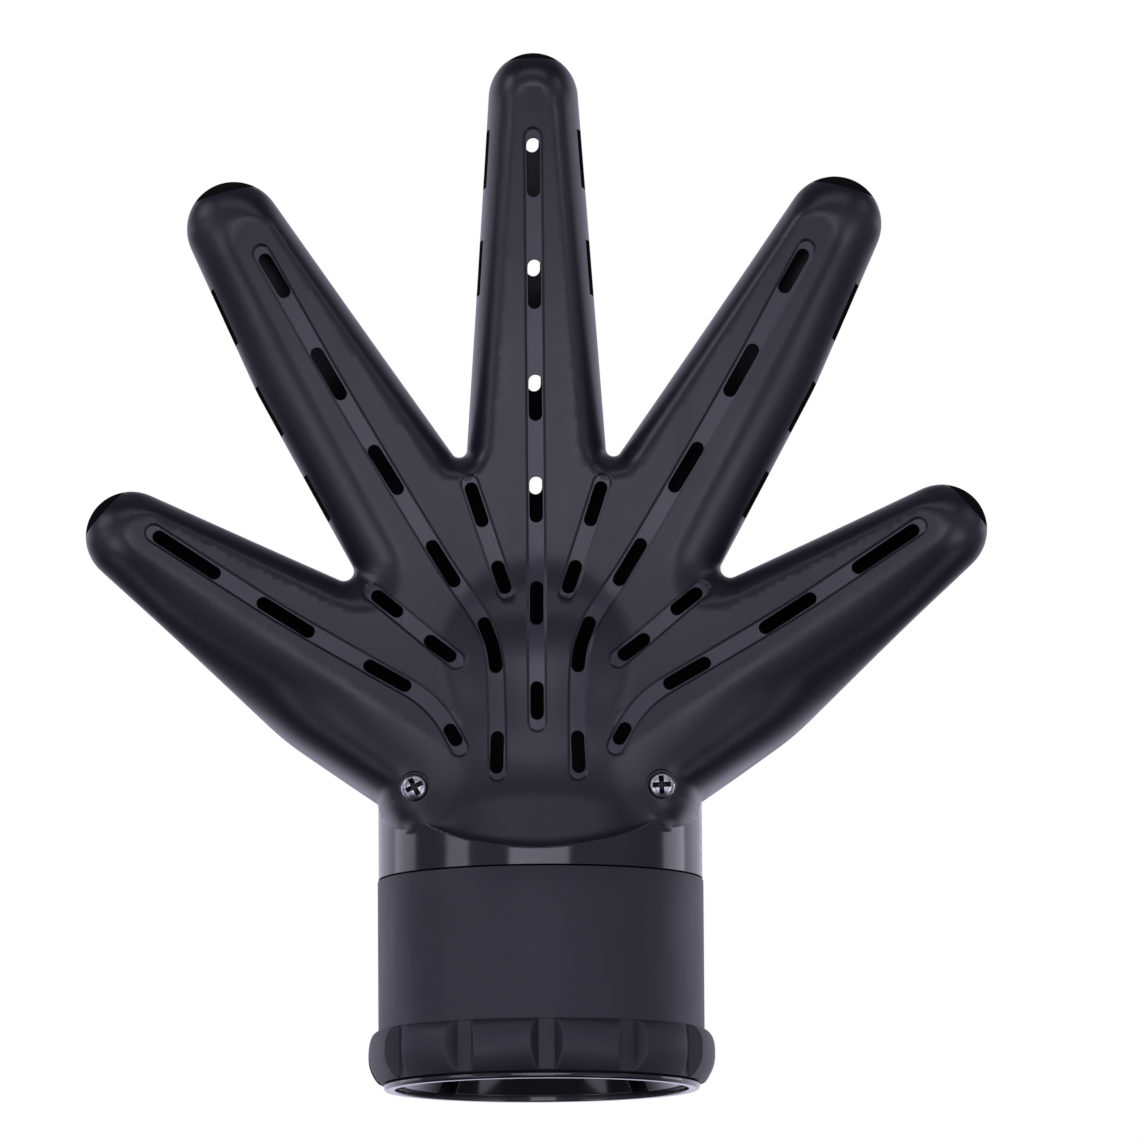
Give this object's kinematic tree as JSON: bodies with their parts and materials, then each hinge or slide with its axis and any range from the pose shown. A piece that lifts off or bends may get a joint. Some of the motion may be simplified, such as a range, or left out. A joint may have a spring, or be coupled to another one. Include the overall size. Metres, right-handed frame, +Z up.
{
  "type": "hair dryer diffuser",
  "caption": "Hand-shaped hair-dryer diffuser: slotted cupped palm and fingers in two shells on a neck, with a turning grip collar that closes jaws on the dryer barrel.",
  "frame": {"origin": "centre of the mouth's bottom edge, on the collar's axis", "axes": "+Z up along the collar and neck towards the fingertips, -Y out of the palm, X across the hand"},
  "size_m": [0.189, 0.0732, 0.2166],
  "materials": {
    "shell": "satin black moulded plastic with a faint violet cast",
    "collar": "matte black moulded plastic",
    "gloss": "polished black plastic",
    "carrier": "matte black glass-filled plastic",
    "screw": "bright zinc plate",
    "spring_steel": "plain steel",
    "rubber": "matte soft rubber",
    "washer": "natural fibre washer"
  },
  "bodies": {
    "hand": {"front_shell": "shell", "rear_shell": "shell", "shell_screw_left": "screw", "shell_screw_right": "screw", "jaw_carrier": "carrier", "friction_washer": "washer", "retaining_ring": "spring_steel"},
    "collar": {"grip_collar": "collar", "end_ring": "gloss", "cam_disc": "carrier"},
    "jaw_front": {"clamp_jaw_front": "gloss", "jaw_pad_front": "rubber", "jaw_slider_front": "spring_steel"},
    "jaw_right": {"clamp_jaw_right": "gloss", "jaw_pad_right": "rubber", "jaw_slider_right": "spring_steel"},
    "jaw_back": {"clamp_jaw_back": "gloss", "jaw_pad_back": "rubber", "jaw_slider_back": "spring_steel"},
    "jaw_left": {"clamp_jaw_left": "gloss", "jaw_pad_left": "rubber", "jaw_slider_left": "spring_steel"}
  },
  "joints": [
    {"name": "collar_turn", "type": "hinge", "parent": "hand", "child": "collar", "pos_m": [0, 0, 0.022], "axis": [0, 0, 1], "range_deg": [0, 60]},
    {"name": "jaw_front_slide", "type": "slide", "parent": "hand", "child": "jaw_front", "axis": [0, 1, 0], "range_m": [0, 0.0024]},
    {"name": "jaw_right_slide", "type": "slide", "parent": "hand", "child": "jaw_right", "axis": [-1, 0, 0], "range_m": [0, 0.0024]},
    {"name": "jaw_back_slide", "type": "slide", "parent": "hand", "child": "jaw_back", "axis": [0, -1, 0], "range_m": [0, 0.0024]},
    {"name": "jaw_left_slide", "type": "slide", "parent": "hand", "child": "jaw_left", "axis": [1, 0, 0], "range_m": [0, 0.0024]}
  ],
  "couplings": [
    {"joint": "jaw_front_slide", "follows": "collar_turn", "m_per_rad": 0.00229},
    {"joint": "jaw_right_slide", "follows": "collar_turn", "m_per_rad": 0.00229},
    {"joint": "jaw_back_slide", "follows": "collar_turn", "m_per_rad": 0.00229},
    {"joint": "jaw_left_slide", "follows": "collar_turn", "m_per_rad": 0.00229}
  ]
}
